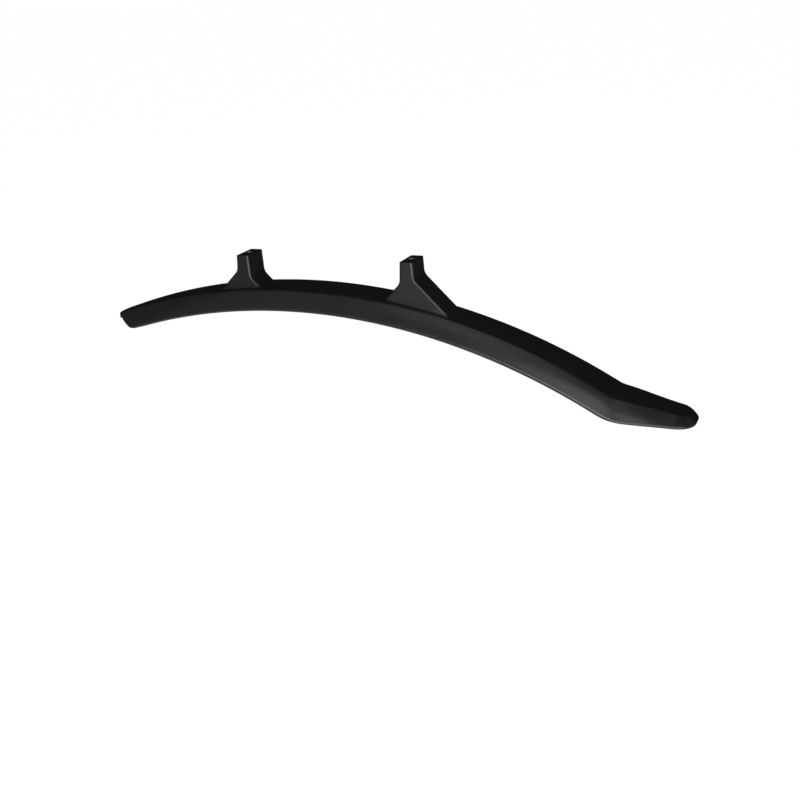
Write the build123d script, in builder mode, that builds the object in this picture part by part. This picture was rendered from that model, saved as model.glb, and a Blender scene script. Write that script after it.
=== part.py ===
"""Bicycle rear mudguard: a moulded channel blade with two towers that bolt up under a luggage rack.

Millimetres. The origin lies midway between the two bolt holes, on the plane of the tower tops. +X points to
the rear of the bicycle, +Y to its right side and +Z up. The blade's arc is concentric with the wheel.
"""
import os
from math import cos, radians, sin, tan

from build123d import *

# Bolt holes in the tower tops
hole_spacing = 120.0

# Blade: a channel with a slightly crowned top strip and two bowed skirts, bent round the wheel
blade_radius = 432.0
apex_x = -20.4
apex_drop = 21.4
strip_width = 30.6
strip_crown = 0.9
skirt_bow_radius = 26.0
crease_slope = 48.4
lip_slope = 15.5
crease_radius = 2.8
wall = 2.2
lip_radius = 2.1

# Nose: the blade's front end, round in plan, with the skirts swept back to a round corner at each lip
nose_angle = -20.0
nose_lip_angle = -17.85
nose_sweep = 52.0
nose_lip_radius = 9.0

# Tail: a flick that leaves the arc in a reverse bend, then narrows to a blunt tip with the skirt all round it
kink_angle = 29.7
tail_angle = 13.0
bend_radius = 18.0
tail_length = 37.5
tail_lip_run = 4.0
tail_lip_rise = 9.0
tail_lip_sweep = 60.0
tail_lip_radius = 1.3
tip_strip_width = 21.8
tip_flat = 7.6
tip_crease_slope = 60.0

# Towers: a narrow neck with draft that flares out on to the strip, ahead and behind
tower_length = 9.0
tower_width = 21.0
tower_draft_angle = 3.2
flare_angle = 45.0
front_tower_front_neck = 10.9
front_tower_rear_neck = 15.2
rear_tower_front_neck = 14.6
rear_tower_rear_neck = 11.4
neck_fillet = 6.5
tower_edge_radius = 1.3
tower_top_radius = 0.5
tower_foot_radius = 1.5

# Threaded inserts, moulded in flush with the tower tops
insert_diameter = 6.6
insert_length = 10.0
insert_groove_width = 2.4
insert_groove_depth = 0.4
thread_bore = 4.2
thread_lead_in = 0.5

# Coring from below, which keeps the towers' walls even
screw_room = 2.0
core_roof = 2.2
core_rib = 2.0

# Values that follow
axle = Vector(apex_x, 0, -apex_drop - blade_radius)
foot_z = -apex_drop - blade_radius * (1 - cos(radians(kink_angle)))
core_top_z = -insert_length - screw_room - core_roof
nose_web = wall + crease_radius / 4
tail_steps = 3
skin_facing = 0.1
tail_skirt_turn = crease_slope - lip_slope / 2
front_tower_necks = (front_tower_front_neck, front_tower_rear_neck)
rear_tower_necks = (rear_tower_front_neck, rear_tower_rear_neck)
front_hole_x = -hole_spacing / 2
rear_hole_x = hole_spacing / 2


def outward(angle):
    """Direction away from the axle, at an angle behind the upright."""
    return Vector(sin(radians(angle)), 0, cos(radians(angle)))


def rearward(angle):
    """Direction along the blade, at an angle behind the upright."""
    return Vector(cos(radians(angle)), 0, -sin(radians(angle)))


def skirt_reach(slope_above, slope_below):
    """How far a skirt stands out and how far it comes down, between two slopes from the upright."""
    above = radians(slope_above)
    below = radians(slope_below)
    return skirt_bow_radius * (cos(below) - cos(above)), skirt_bow_radius * (sin(above) - sin(below))


# Sizes over the lips
lip_spread, lip_drop = skirt_reach(crease_slope, lip_slope)
half_width = strip_width / 2 + lip_spread
lip_depth = lip_drop + wall * sin(radians(lip_slope)) / 2

# Places along the blade, midway between the strip's creases
nose = axle + outward(nose_angle) * blade_radius
nose_lip = axle + outward(nose_lip_angle) * blade_radius
kink = axle + outward(kink_angle) * blade_radius
bend_centre = kink + outward(kink_angle) * bend_radius
tail_start = bend_centre - outward(tail_angle) * bend_radius
tip_centre = tail_start + rearward(tail_angle) * tail_length


def channel(place, angle, strip, crown, slopes, round_lips):
    """Section of the blade, square to it: one even wall round the strip and both skirts, drawn as true arcs."""
    spread, depth = skirt_reach(*slopes)
    width = strip + 2 * spread
    with BuildSketch(Plane(origin=place, x_dir=(0, 1, 0), z_dir=rearward(angle))) as section:
        with BuildLine(mode=Mode.PRIVATE) as skin:
            RadiusArc((-width / 2, -depth), (-strip / 2, 0), skirt_bow_radius)
            if crown > 0:
                SagittaArc((-strip / 2, 0), (strip / 2, 0), crown)
            else:
                Line((-strip / 2, 0), (strip / 2, 0))
            RadiusArc((strip / 2, 0), (width / 2, -depth), skirt_bow_radius)
            fillet(skin.vertices().group_by(Axis.Y)[-1], crease_radius)
            offset(amount=wall, side=Side.RIGHT)
        with BuildLine():
            for edge in skin.edges():
                start, middle, end = edge @ 0, edge @ 0.5, edge @ 1
                if edge.geom_type == GeomType.LINE:
                    Line(start, end)
                elif abs(middle.X) < wall:
                    Bezier(start, middle * 2 - (start + end) / 2, end)
                else:
                    ThreePointArc(start, middle, end)
        make_face()
        if round_lips:
            corners = section.edges().filter_by(GeomType.LINE).vertices().sort_by(lambda corner: abs(corner.X))
            fillet(corners[-2:], lip_radius)
    return section.sketch


def tail_sections():
    """Sections down the tail, easing from the blade's width and skirts to those of the tip."""
    sections = []
    for step in range(tail_steps + 1):
        along = step / tail_steps
        ease = along**2 * (3 - 2 * along)
        place = tail_start + rearward(tail_angle) * tail_length * along
        strip = strip_width + (tip_strip_width - strip_width) * ease
        crown = strip_crown * (1 - ease)
        slope = crease_slope + (tip_crease_slope - crease_slope) * ease
        sections.append(channel(place, tail_angle, strip, crown, (slope, slope - tail_skirt_turn), False))
    return sections


def tip(section):
    """End of the tail: a round corner on each side and a straight stretch between them."""
    pivot = Axis(tip_centre - Vector(0, tip_flat / 2, 0), outward(tail_angle))
    with BuildPart() as end:
        corner = split(section, Plane.XZ.offset(tip_flat / 2), keep=Keep.TOP, mode=Mode.PRIVATE)
        revolve(corner.faces(), pivot, 90)
        extrude(corner.rotate(pivot, 90).faces(), tip_flat / 2, dir=(0, 1, 0))
        mirror(about=Plane.XZ)
    return end.part


def tail():
    """The flick behind the bend, whose lips rise towards the strip and run round the tip."""
    sections = tail_sections()
    behind = 4 * tail_length
    rise = (behind - tail_lip_run) * tan(radians(tail_lip_rise))
    with BuildPart() as flick:
        loft([section.face() for section in sections])
        add(tip(sections[-1]))
        with BuildSketch(Plane(origin=tail_start, x_dir=rearward(tail_angle), z_dir=(0, -1, 0))) as below:
            with BuildLine():
                Polyline(
                    (-tail_length, -lip_depth),
                    (tail_lip_run, -lip_depth),
                    (behind, rise - lip_depth),
                    (behind, -behind),
                    (-tail_length, -behind),
                    close=True,
                )
            make_face()
            fillet(below.vertices().sort_by_distance((tail_lip_run, -lip_depth))[0], tail_lip_sweep)
        extrude(amount=2 * half_width, both=True, mode=Mode.SUBTRACT)
        rim = flick.edges(Select.NEW)
        skin = [face for face in flick.faces() if face.normal_at().dot(outward(tail_angle)) > skin_facing]
        fillet([edge for edge in rim if any(edge in face.edges() for face in skin)], tail_lip_radius)
    return flick.part


def tower_side(hole_x, necks):
    """Side outline of a tower, from its top down past the strip."""
    neck_front, neck_rear = necks
    half_top = tower_length / 2
    front_corner = hole_x - half_top - neck_front * tan(radians(tower_draft_angle))
    rear_corner = hole_x + half_top + neck_rear * tan(radians(tower_draft_angle))
    front_foot = front_corner + (neck_front + foot_z) * tan(radians(flare_angle))
    rear_foot = rear_corner - (neck_rear + foot_z) * tan(radians(flare_angle))
    with BuildSketch() as side:
        with BuildLine():
            Polyline(
                (hole_x - half_top, 0),
                (hole_x + half_top, 0),
                (rear_corner, -neck_rear),
                (rear_foot, foot_z),
                (front_foot, foot_z),
                (front_corner, -neck_front),
                close=True,
            )
        make_face()
        fillet(side.vertices().filter_by_position(Axis.Y, foot_z, 0, (False, False)), neck_fillet)
    return side.sketch


def tower(hole_x, necks):
    """One tower with rounded edges, its foot inside the strip's wall."""
    with BuildPart() as body:
        with BuildSketch(Plane.XZ):
            add(tower_side(hole_x, necks))
        extrude(amount=tower_width / 2, both=True)
        sides = body.faces().filter_by(Axis.Y)
        fillet(sides.edges().filter_by_position(Axis.Z, foot_z, 0, (False, False)), tower_edge_radius)
        fillet(body.faces().sort_by(Axis.Z)[-1].edges(), tower_top_radius)
        with Locations(axle):
            Cylinder(blade_radius - wall / 2, 2 * tower_width, rotation=(90, 0, 0), mode=Mode.SUBTRACT)
    return body.part


def core(hole_x, necks):
    """Space inside a tower, open below: the side outline drawn in by the wall, parted by a rib in the middle."""
    with BuildPart() as space:
        with BuildSketch(Plane.XZ):
            add(tower_side(hole_x, necks))
            offset(amount=-wall, kind=Kind.INTERSECTION, mode=Mode.REPLACE)
            with Locations((hole_x, core_top_z)):
                Rectangle(2 * hole_spacing, -core_top_z, align=(Align.CENTER, Align.MIN), mode=Mode.SUBTRACT)
        extrude(amount=tower_width / 2 - wall, both=True)
        Box(4 * hole_spacing, core_rib, -4 * foot_z, mode=Mode.SUBTRACT)
    return space.part


def insert_blank(hole_x):
    """Outside of an insert as a solid, with its retaining groove."""
    radius = insert_diameter / 2
    groove_radius = radius - insert_groove_depth
    with BuildPart() as blank:
        with Locations((hole_x, 0, 0)):
            Cylinder(radius, insert_length, align=(Align.CENTER, Align.CENTER, Align.MAX))
        with BuildSketch(Plane.XZ):
            with Locations((hole_x + groove_radius, -insert_length / 2)):
                Rectangle(insert_diameter, insert_groove_width, align=(Align.MIN, Align.CENTER))
        revolve(axis=Axis((hole_x, 0, 0), (0, 0, 1)), mode=Mode.SUBTRACT)
    return blank.part


def sleeve(hole_x):
    """Threaded insert: a turned sleeve with a lead-in at its mouth."""
    with BuildPart() as turned:
        add(insert_blank(hole_x))
        with Locations((hole_x, 0, 0)):
            Cylinder(thread_bore / 2, 2 * insert_length, mode=Mode.SUBTRACT)
        mouth = turned.faces().sort_by(Axis.Z)[-1].edges().sort_by(SortBy.RADIUS)[0]
        chamfer(mouth, thread_lead_in)
    return turned.part


arc_section = channel(kink, kink_angle, strip_width, strip_crown, (crease_slope, lip_slope), True)

with BuildPart() as mudguard:
    # Arc round the wheel
    revolve(arc_section.faces(), Axis(axle, (0, -1, 0)), kink_angle - nose_angle)

    # Towers, blended into the strip
    add(tower(front_hole_x, front_tower_necks))
    fillet(mudguard.edges(Select.NEW), tower_foot_radius)
    add(tower(rear_hole_x, rear_tower_necks))
    fillet(mudguard.edges(Select.NEW), tower_foot_radius)

    # Reverse bend behind the arc, and the tail
    revolve(arc_section.faces(), Axis(bend_centre, (0, -1, 0)), kink_angle - tail_angle)
    add(tail())

    # Nose, round in plan
    with BuildSketch(Plane.XY):
        with Locations((nose.X + half_width, 0)):
            Rectangle(4 * half_width, 4 * half_width, align=(Align.MAX, Align.CENTER))
            Circle(half_width, mode=Mode.SUBTRACT)
    extrude(amount=blade_radius, both=True, mode=Mode.SUBTRACT)

    # Skirts swept back at the nose, below the strip and its creases
    with BuildSketch(Plane(origin=nose_lip, x_dir=rearward(nose_lip_angle), z_dir=(0, -1, 0))) as swept:
        with BuildLine():
            Polyline(
                (-(lip_depth - nose_web) / tan(radians(nose_sweep)), -nose_web),
                (0, -lip_depth),
                (nose_lip_radius, -lip_depth),
                (nose_lip_radius, -2 * half_width),
                (-2 * half_width, -2 * half_width),
                (-2 * half_width, -nose_web),
                close=True,
            )
        make_face()
        fillet(swept.vertices().sort_by_distance((0, -lip_depth))[0], nose_lip_radius)
    extrude(amount=2 * half_width, both=True, mode=Mode.SUBTRACT)

    # Spaces inside the towers, then the seats of the inserts and the room for the screw ends
    add(core(front_hole_x, front_tower_necks), mode=Mode.SUBTRACT)
    add(core(rear_hole_x, rear_tower_necks), mode=Mode.SUBTRACT)
    add(insert_blank(front_hole_x), mode=Mode.SUBTRACT)
    add(insert_blank(rear_hole_x), mode=Mode.SUBTRACT)
    with Locations((front_hole_x, 0, -insert_length), (rear_hole_x, 0, -insert_length)):
        Cylinder(insert_diameter / 2 - insert_groove_depth, 2 * screw_room, mode=Mode.SUBTRACT)
mudguard.part.label = "mudguard"

with BuildPart() as front_insert:
    add(sleeve(front_hole_x))
front_insert.part.label = "front_insert"

with BuildPart() as rear_insert:
    add(sleeve(rear_hole_x))
rear_insert.part.label = "rear_insert"

os.makedirs("parts", exist_ok=True)
export_step(mudguard.part, "parts/mudguard.step")
export_step(front_insert.part, "parts/front_insert.step")
export_step(rear_insert.part, "parts/rear_insert.step")
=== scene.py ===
"""Looks for a bicycle rear mudguard: black moulded plastic with stainless thread inserts, over a white floor.

Blender works in metres and radians. Here lengths are in millimetres where their names say so, and angles are in
degrees.
"""
from math import asin, atan2, cos, hypot, pi, radians, sin, sqrt, tan

import bpy
from mathutils import Euler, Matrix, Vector


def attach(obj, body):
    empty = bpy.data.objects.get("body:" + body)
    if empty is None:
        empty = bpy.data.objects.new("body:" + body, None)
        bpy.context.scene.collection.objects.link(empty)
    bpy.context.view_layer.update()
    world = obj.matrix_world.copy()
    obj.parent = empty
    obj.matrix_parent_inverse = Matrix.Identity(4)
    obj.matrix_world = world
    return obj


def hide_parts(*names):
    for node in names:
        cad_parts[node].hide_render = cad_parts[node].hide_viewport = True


MM = 0.001

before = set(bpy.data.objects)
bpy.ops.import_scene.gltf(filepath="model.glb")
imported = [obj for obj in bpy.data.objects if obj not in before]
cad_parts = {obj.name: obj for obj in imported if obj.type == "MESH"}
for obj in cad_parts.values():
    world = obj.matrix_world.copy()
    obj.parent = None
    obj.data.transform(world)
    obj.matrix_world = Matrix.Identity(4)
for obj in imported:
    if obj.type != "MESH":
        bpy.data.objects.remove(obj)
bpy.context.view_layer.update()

# Threaded inserts, with the part's own sizes and an M5 thread
HOLE_SPACING_MM = 120.0
INSERT_RADIUS_MM = 3.3
INSERT_LENGTH_MM = 10.0
GROOVE_RADIUS_MM = 2.9
GROOVE_WIDTH_MM = 2.4
BORE_RADIUS_MM = 2.1
LEAD_IN_MM = 0.5
THREAD_PITCH_MM = 0.8
THREAD_DEPTH_MM = 0.4
THREAD_FLAT = 0.1  # share of the pitch that is flat at a crest, and at a root
STEPS_PER_TURN = 48
STEPS_PER_PITCH = 8

# Lips and creases along the blade's arc round the axle, with the part's own sizes
BLADE_RADIUS_MM = 432.0
APEX_X_MM = -20.4
APEX_DROP_MM = 21.4
STRIP_WIDTH_MM = 30.6
STRIP_CROWN_MM = 0.9
SKIRT_BOW_RADIUS_MM = 26.0
CREASE_SLOPE = 48.4
CREASE_RADIUS_MM = 2.8
CREASE_START_ANGLE = -19.05
LIP_SLOPE = 15.5
LIP_RADIUS_MM = 2.1
LIP_DEPTH_MM = 12.789
LIP_START_ANGLE = -18.05
NOSE_LIP_ANGLE = -17.85
NOSE_LIP_RADIUS_MM = 9.0
NOSE_SWEEP = 52.0
KINK_ANGLE = 29.7

# The fine pieces that cover those roundings
CREASE_PROUD_MM = 0.03
CREASE_ROOT_MM = 1.0  # how deep a crease's piece is rooted in the part
LIP_PROUD_MM = 0.06  # under the lip; it fades to nothing up the skirt
LIP_SUNK_MM = 0.02  # keeps a lip's piece inside the cut of the nose's corner
LIP_EASE_MM = 0.42  # step in the lip where that cut ends
ROUNDING_STATIONS = 380
ROUNDING_STEPS = 20

SHARP_ANGLE = 30.0  # edges that turn by more are shaded sharp

# Camera, fitted to the photograph
IMAGE_PX = 800
FOCAL_PX = 1216.6
CENTRE_BELOW_AXIS_PX = 1.5
SENSOR_MM = 36.0
CAMERA_MM = (355.9, -717.4, 177.4)
TARGET_MM = (46.5, 0.0, -97.6)
CAMERA_ROLL = -3.14

# Studio: the floor lies where the wheel would stand
FLOOR_DROP_MM = 810.0
FLOOR_REACH_MM = 60000.0
# Painted reflection: for reflections the floor glows, brightening over this length towards this azimuth
FLOOR_PAINTED_GLOW_MM = 5000.0
FLOOR_PAINTED_GLOW_AZIMUTH = 50.0
STUDIO_RADIANCE = 0.012
LAMP_AIM_MM = (60.0, 0.0, -40.0)
# Name, azimuth and elevation seen from the part, distance and turn of the lamp, width and height, radiance
LAMPS = (
    ("key strip", 1, -8, 1200, 0, (360, 800), 6.5),
    ("wide softbox", 37, 2, 1200, 0, (1400, 1900), 1.8),
    ("overhead softbox", 50, 80, 556, -50, (400, 880), 0.53),
    ("front fill", -27, 34, 1200, 0, (1200, 1600), 0.23),
    ("side fill", -92, 30, 1200, 0, (1100, 1500), 0.075),
    ("back fill", 118, 12, 1200, 0, (730, 1500), 0.11),
    ("floor bounce", 0, -89, 660, 0, (1200, 900), 0.5),
)

# A Mix node has sockets of the same name for each kind of data; these are the places of its colour sockets
MIX_FACTOR, MIX_FIRST, MIX_SECOND, MIX_RESULT = 0, 6, 7, 2
# A wave texture of scale 1 advances its phase by this for each unit of length
WAVE_RADIANS = 20


def linear(hex_colour):
    """sRGB hex colour as linear RGBA."""
    parts = [int(hex_colour[i:i + 2], 16) / 255 for i in (1, 3, 5)]
    return tuple(p / 12.92 if p <= 0.04045 else ((p + 0.055) / 1.055) ** 2.4 for p in parts) + (1.0,)


def add_node(tree, kind, settings=(), links=()):
    """Adds a node. Settings are (name, value) on the node or an input, links are (input, source socket)."""
    node = tree.nodes.new(kind)
    for name, value in settings:
        if isinstance(name, str) and hasattr(node, name):
            setattr(node, name, value)
        else:
            node.inputs[name].default_value = value
    for name, source in links:
        tree.links.new(source, node.inputs[name])
    return node


def wave_scale(period_mm):
    """Scale of a wave texture whose bands repeat after a length."""
    return 2 * pi / (WAVE_RADIANS * period_mm * MM)


def new_material(name):
    """A material and its node tree, still empty."""
    material = bpy.data.materials.new(name)
    material.use_nodes = True
    tree = material.node_tree
    tree.nodes.clear()
    return material, tree


def moulded_polypropylene():
    """Black polypropylene from a spark-eroded mould: satin, with a fine grain that softens its highlights.

    The melt cools unevenly, so patches some centimetres wide are a little glossier and blacker than others.
    """
    material, tree = new_material("black moulded polypropylene")
    place = add_node(tree, "ShaderNodeTexCoord")
    # The real grain is about 0.15 mm wide; it is drawn coarser so that it shows
    grain_mm = 0.6
    patch_mm = 26.0
    grain = add_node(
        tree,
        "ShaderNodeTexNoise",
        [("Scale", 1 / (grain_mm * MM)), ("Detail", 2.0), ("Roughness", 0.5)],
        [("Vector", place.outputs["Object"])],
    )
    patches = add_node(
        tree,
        "ShaderNodeTexNoise",
        [("Scale", 1 / (patch_mm * MM)), ("Detail", 3.0), ("Roughness", 0.55)],
        [("Vector", place.outputs["Object"])],
    )
    gloss = add_node(
        tree,
        "ShaderNodeMapRange",
        [("From Min", 0.3), ("From Max", 0.7), ("To Min", 0.25), ("To Max", 0.31)],
        [("Value", patches.outputs["Fac"])],
    )
    tint = add_node(
        tree,
        "ShaderNodeMix",
        [("data_type", "RGBA"), (MIX_FIRST, linear("#1b1b1b")), (MIX_SECOND, linear("#1f1f1f"))],
        [(MIX_FACTOR, patches.outputs["Fac"])],
    )
    relief = add_node(
        tree,
        "ShaderNodeBump",
        [("Strength", 0.05), ("Distance", 0.02 * MM)],
        [("Height", grain.outputs["Fac"])],
    )
    plastic = add_node(
        tree,
        "ShaderNodeBsdfPrincipled",
        [("IOR", 1.49)],
        [
            ("Base Color", tint.outputs[MIX_RESULT]),
            ("Roughness", gloss.outputs["Result"]),
            ("Normal", relief.outputs["Normal"]),
        ],
    )
    add_node(tree, "ShaderNodeOutputMaterial", [], [("Surface", plastic.outputs["BSDF"])])
    return material


def turned_stainless():
    """Stainless steel turned on a lathe: grey, with fine rings that draw its highlights out.

    Spots of oil leave it duller in places.
    """
    material, tree = new_material("turned stainless steel")
    place = add_node(tree, "ShaderNodeTexCoord")
    ring_mm = 0.15
    spot_mm = 0.8
    rings = add_node(
        tree,
        "ShaderNodeTexWave",
        [
            ("wave_type", "RINGS"),
            ("rings_direction", "Z"),
            ("Scale", wave_scale(ring_mm)),
            ("Distortion", 0.6),
        ],
        [("Vector", place.outputs["Object"])],
    )
    spots = add_node(
        tree,
        "ShaderNodeTexNoise",
        [("Scale", 1 / (spot_mm * MM)), ("Detail", 2.0)],
        [("Vector", place.outputs["Object"])],
    )
    dullness = add_node(
        tree,
        "ShaderNodeMapRange",
        [("From Min", 0.3), ("From Max", 0.7), ("To Min", 0.28), ("To Max", 0.42)],
        [("Value", spots.outputs["Fac"])],
    )
    relief = add_node(
        tree,
        "ShaderNodeBump",
        [("Strength", 0.3), ("Distance", 0.01 * MM)],
        [("Height", rings.outputs["Fac"])],
    )
    steel = add_node(
        tree,
        "ShaderNodeBsdfPrincipled",
        [("Base Color", linear("#8e8d8b")), ("Metallic", 1.0)],
        [("Roughness", dullness.outputs["Result"]), ("Normal", relief.outputs["Normal"])],
    )
    add_node(tree, "ShaderNodeOutputMaterial", [], [("Surface", steel.outputs["BSDF"])])
    return material


def studio_white():
    """Matt white floor paint: an even white to the camera, without glare.

    Reflections see a painted glow on it, which brightens towards the lamps and stays dark on the other side.
    """
    material, tree = new_material("matt white floor paint")
    paint = add_node(tree, "ShaderNodeBsdfDiffuse", [("Color", linear("#f0f0f0"))])
    place = add_node(tree, "ShaderNodeTexCoord")
    towards_lamps = add_node(
        tree,
        "ShaderNodeMapping",
        [
            ("Rotation", (0.0, 0.0, radians(90.0 - FLOOR_PAINTED_GLOW_AZIMUTH))),
            ("Scale", (1 / (FLOOR_PAINTED_GLOW_MM * MM),) * 3),
        ],
        [("Vector", place.outputs["Object"])],
    )
    # Painted reflection: a gradient that makes the floor glow for glossy rays on the lamps' side only
    painted_glow_side = add_node(tree, "ShaderNodeTexGradient", [], [("Vector", towards_lamps.outputs["Vector"])])
    path = add_node(tree, "ShaderNodeLightPath")
    painted_reflection = add_node(
        tree,
        "ShaderNodeMath",
        [("operation", "MULTIPLY")],
        [(0, path.outputs["Is Glossy Ray"]), (1, painted_glow_side.outputs["Fac"])],
    )
    seen = add_node(
        tree,
        "ShaderNodeMath",
        [("operation", "MAXIMUM")],
        [(0, path.outputs["Is Camera Ray"]), (1, path.outputs["Is Transmission Ray"])],
    )
    strength = add_node(
        tree,
        "ShaderNodeMath",
        [("operation", "MAXIMUM")],
        [(0, seen.outputs["Value"]), (1, painted_reflection.outputs["Value"])],
    )
    # Even white for the camera, and the painted reflection glow for glossy rays
    white_and_painted_reflection = add_node(
        tree,
        "ShaderNodeEmission",
        [("Color", linear("#fdfdfd"))],
        [("Strength", strength.outputs["Value"])],
    )
    both = add_node(
        tree,
        "ShaderNodeAddShader",
        [],
        [(0, paint.outputs["BSDF"]), (1, white_and_painted_reflection.outputs["Emission"])],
    )
    add_node(tree, "ShaderNodeOutputMaterial", [], [("Surface", both.outputs["Shader"])])
    return material


def mesh_object(name, vertices, faces, material):
    """A new mesh object in metres, in the part's frame."""
    mesh = bpy.data.meshes.new(name)
    mesh.from_pydata(vertices, [], faces)
    mesh.materials.append(material)
    thing = bpy.data.objects.new(name, mesh)
    bpy.context.collection.objects.link(thing)
    return thing


def smooth_object(name, vertices, faces, material):
    """A new mesh object that is shaded smooth between its sharp edges."""
    thing = mesh_object(name, vertices, faces, material)
    thing.data.shade_smooth()
    thing.data.set_sharp_from_angle(angle=radians(SHARP_ANGLE))
    return thing


def bore_radius(z_mm, turn):
    """Radius of the threaded bore at a depth and a part of a turn; the lead-in cone cuts the first grooves."""
    across = (z_mm / THREAD_PITCH_MM - turn) % 1.0
    groove = (1 - abs(2 * across - 1) - THREAD_FLAT) / (1 - 2 * THREAD_FLAT)
    thread = BORE_RADIUS_MM + THREAD_DEPTH_MM * min(max(groove, 0.0), 1.0)
    return max(thread, BORE_RADIUS_MM + LEAD_IN_MM + z_mm)


def threaded_insert(name, node, hole_x_mm, material):
    """An insert with its thread, for a plain CAD sleeve: rings down the bore, then up the outside."""
    turns = [step / STEPS_PER_TURN for step in range(STEPS_PER_TURN)]
    rows = round(INSERT_LENGTH_MM / THREAD_PITCH_MM * STEPS_PER_PITCH)
    rings = []
    for row in range(rows + 1):
        z_mm = -INSERT_LENGTH_MM * row / rows
        rings.append([(bore_radius(z_mm, turn), z_mm) for turn in turns])
    groove_foot = -(INSERT_LENGTH_MM + GROOVE_WIDTH_MM) / 2
    groove_head = -(INSERT_LENGTH_MM - GROOVE_WIDTH_MM) / 2
    outside = (
        (INSERT_RADIUS_MM, -INSERT_LENGTH_MM),
        (INSERT_RADIUS_MM, groove_foot),
        (GROOVE_RADIUS_MM, groove_foot),
        (GROOVE_RADIUS_MM, groove_head),
        (INSERT_RADIUS_MM, groove_head),
        (INSERT_RADIUS_MM, 0.0),
    )
    rings += [[corner] * STEPS_PER_TURN for corner in outside]
    vertices = []
    for ring in rings:
        for (radius, z_mm), turn in zip(ring, turns):
            angle = 2 * pi * turn
            vertices.append((radius * cos(angle) * MM, radius * sin(angle) * MM, z_mm * MM))
    faces = []
    for upper in range(len(rings)):
        lower = (upper + 1) % len(rings)
        for step in range(STEPS_PER_TURN):
            beside = (step + 1) % STEPS_PER_TURN
            corners = (upper, step), (upper, beside), (lower, beside), (lower, step)
            faces.append([ring * STEPS_PER_TURN + place for ring, place in corners])
    insert = smooth_object(name, vertices, faces, material)
    insert.location = (hole_x_mm * MM, 0.0, 0.0)
    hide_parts(node)
    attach(insert, "root")


def bow_centre():
    """Centre of a skirt's bow: how far across the blade and how far out from the axle."""
    slope = radians(CREASE_SLOPE)
    across = STRIP_WIDTH_MM / 2 - SKIRT_BOW_RADIUS_MM * cos(slope)
    out = BLADE_RADIUS_MM - SKIRT_BOW_RADIUS_MM * sin(slope)
    return across, out


def lip_section():
    """Section of a lip's rounding, from under the lip up the skirt; its points are (across, out)."""
    # The rounding touches the skirt's bow and the end of the wall
    reach = SKIRT_BOW_RADIUS_MM - LIP_RADIUS_MM
    last = radians(LIP_SLOPE) + asin(LIP_RADIUS_MM / reach)
    first = radians(LIP_SLOPE) - pi / 2
    bow_across, bow_out = bow_centre()
    across = bow_across + reach * cos(last)
    out = bow_out + reach * sin(last)
    section = [(across, out)]
    for step in range(ROUNDING_STEPS + 1):
        share = step / ROUNDING_STEPS
        slope = first + (last - first) * share
        radius = LIP_RADIUS_MM + LIP_PROUD_MM * (1 - share)
        section.append((across + radius * cos(slope), out + radius * sin(slope)))
    return section


def crease_section():
    """Section of a crease's rounding, from the skirt to the strip; its points are (across, out)."""
    crown_radius = ((STRIP_WIDTH_MM / 2)**2 + STRIP_CROWN_MM**2) / (2 * STRIP_CROWN_MM)
    crown_out = BLADE_RADIUS_MM + STRIP_CROWN_MM - crown_radius
    bow_across, bow_out = bow_centre()
    # The rounding touches the skirt's bow and the strip's crown from inside, so its centre lies on two circles
    from_bow = SKIRT_BOW_RADIUS_MM - CREASE_RADIUS_MM
    from_crown = crown_radius - CREASE_RADIUS_MM
    apart = hypot(bow_across, bow_out - crown_out)
    along = (from_bow**2 - from_crown**2 + apart**2) / (2 * apart)
    beside = sqrt(from_bow**2 - along**2)
    way_across, way_out = -bow_across / apart, (crown_out - bow_out) / apart
    across = bow_across + along * way_across - beside * way_out
    out = bow_out + along * way_out + beside * way_across
    first = atan2(out - bow_out, across - bow_across)
    last = atan2(out - crown_out, across)
    middle = (first + last) / 2
    root_radius = CREASE_RADIUS_MM - CREASE_ROOT_MM
    section = [(across + root_radius * cos(middle), out + root_radius * sin(middle))]
    radius = CREASE_RADIUS_MM + CREASE_PROUD_MM
    for step in range(ROUNDING_STEPS + 1):
        slope = first + (last - first) * step / ROUNDING_STEPS
        section.append((across + radius * cos(slope), out + radius * sin(slope)))
    return section


def lip_floor(angle):
    """Nearest that a lip comes to the axle: the nose's corner cuts it, then it eases to its full depth."""
    turn = angle - radians(NOSE_LIP_ANGLE)
    cut = BLADE_RADIUS_MM - LIP_DEPTH_MM
    along = cut * sin(turn)
    if along > NOSE_LIP_RADIUS_MM:
        return 0.0
    corner_end = NOSE_LIP_RADIUS_MM * tan(radians(NOSE_SWEEP) / 2)
    into_corner = min(max(corner_end - along, 0.0), NOSE_LIP_RADIUS_MM)
    rise = NOSE_LIP_RADIUS_MM - sqrt(NOSE_LIP_RADIUS_MM**2 - into_corner**2)
    eased = max(along - corner_end, 0.0) / (NOSE_LIP_RADIUS_MM - corner_end)
    return (cut + rise) / cos(turn) + LIP_SUNK_MM - LIP_EASE_MM * eased


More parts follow.
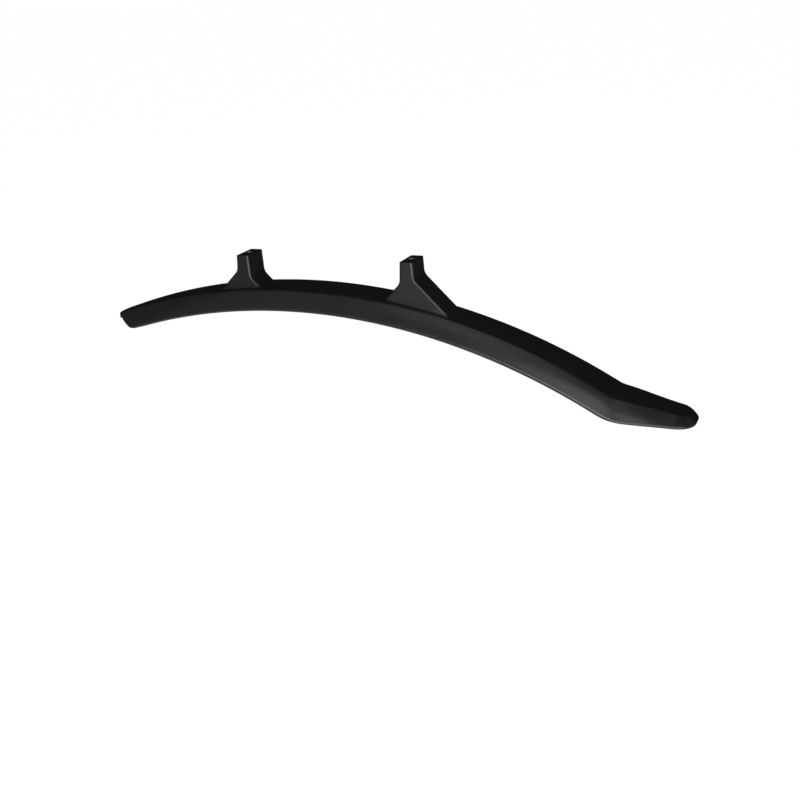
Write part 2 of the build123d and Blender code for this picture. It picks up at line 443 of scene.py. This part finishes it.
def rounding(name, section, start_angle, side, material):
    """A lip's or crease's rounding along the arc, which covers the CAD mesh by a hair, in finer steps."""
    count = len(section)
    vertices = []
    for station in range(ROUNDING_STATIONS + 1):
        angle = radians(start_angle + (KINK_ANGLE - start_angle) * station / ROUNDING_STATIONS)
        floor_out = lip_floor(angle)
        for across, full_out in section:
            out = max(full_out, floor_out)
            x_mm = APEX_X_MM + out * sin(angle)
            z_mm = out * cos(angle) - BLADE_RADIUS_MM - APEX_DROP_MM
            vertices.append((x_mm * MM, side * across * MM, z_mm * MM))
    front_end = list(range(count))[::-1]
    rear_end = [ROUNDING_STATIONS * count + corner for corner in range(count)]
    faces = [front_end, rear_end]
    for station in range(ROUNDING_STATIONS):
        ahead, behind = station * count, (station + 1) * count
        for corner in range(count):
            beside = (corner + 1) % count
            faces.append([ahead + corner, ahead + beside, behind + beside, behind + corner])
    if side < 0:
        faces = [face[::-1] for face in faces]
    strip = smooth_object(name, vertices, faces, material)
    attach(strip, "root")


def facing(way, turn):
    """Rotation of a lamp or camera that looks along a direction and is turned about it."""
    upright = way.to_track_quat("-Z", "Y")
    return (upright @ Euler((0, 0, radians(turn))).to_quaternion()).to_euler()


def softbox(name, azimuth, elevation, distance_mm, turn, size_mm, radiance):
    """A soft rectangular lamp that faces the part. Azimuth goes from the near side towards the tail."""
    width, height = (side * MM for side in size_mm)
    lamp = bpy.data.lights.new(name, "AREA")
    lamp.shape = "RECTANGLE"
    lamp.size = width
    lamp.size_y = height
    lamp.energy = radiance * pi * width * height
    azimuth, elevation = radians(azimuth), radians(elevation)
    level = cos(elevation)
    way = Vector((sin(azimuth) * level, -cos(azimuth) * level, sin(elevation)))
    thing = bpy.data.objects.new(name, lamp)
    thing.location = (Vector(LAMP_AIM_MM) + way * distance_mm) * MM
    thing.rotation_euler = facing(-way, turn)
    thing.visible_camera = False
    bpy.context.collection.objects.link(thing)


plastic = moulded_polypropylene()
steel = turned_stainless()

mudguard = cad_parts["mudguard"]
mudguard.data.materials.clear()
mudguard.data.materials.append(plastic)
for side_name, side in (("left", -1), ("right", 1)):
    rounding(side_name + "_lip_rounding", lip_section(), LIP_START_ANGLE, side, plastic)
    rounding(side_name + "_crease_rounding", crease_section(), CREASE_START_ANGLE, side, plastic)
threaded_insert("front_threaded_insert", "front_insert", -HOLE_SPACING_MM / 2, steel)
threaded_insert("rear_threaded_insert", "rear_insert", HOLE_SPACING_MM / 2, steel)

# Floor and lamps
reach = FLOOR_REACH_MM * MM
floor_z = -FLOOR_DROP_MM * MM
floor = mesh_object(
    "studio floor",
    [(-reach, -reach, floor_z), (reach, -reach, floor_z), (reach, reach, floor_z), (-reach, reach, floor_z)],
    [(0, 1, 2, 3)],
    studio_white(),
)
for lamp in LAMPS:
    softbox(*lamp)

# World: a dim studio for the light, white for the camera
world = bpy.data.worlds.new("dim studio")
bpy.context.scene.world = world
world.use_nodes = True
sky = world.node_tree
sky.nodes.clear()
dim = add_node(sky, "ShaderNodeBackground", [("Color", linear("#ffffff")), ("Strength", STUDIO_RADIANCE)])
white = add_node(sky, "ShaderNodeBackground", [("Color", linear("#ffffff")), ("Strength", 1.0)])
path = add_node(sky, "ShaderNodeLightPath")
seen = add_node(
    sky,
    "ShaderNodeMixShader",
    [],
    [(0, path.outputs["Is Camera Ray"]), (1, dim.outputs["Background"]), (2, white.outputs["Background"])],
)
add_node(sky, "ShaderNodeOutputWorld", [], [("Surface", seen.outputs["Shader"])])

# Camera
eye = Vector(CAMERA_MM) * MM
lens = bpy.data.cameras.new("camera")
lens.sensor_width = SENSOR_MM
lens.lens = FOCAL_PX / IMAGE_PX * SENSOR_MM
lens.shift_y = -CENTRE_BELOW_AXIS_PX / IMAGE_PX
lens.clip_end = 2 * FLOOR_REACH_MM * MM
camera = bpy.data.objects.new("camera", lens)
camera.location = eye
camera.rotation_euler = facing(Vector(TARGET_MM) * MM - eye, CAMERA_ROLL)
bpy.context.collection.objects.link(camera)
bpy.context.scene.camera = camera

bpy.context.scene.view_settings.view_transform = "Standard"
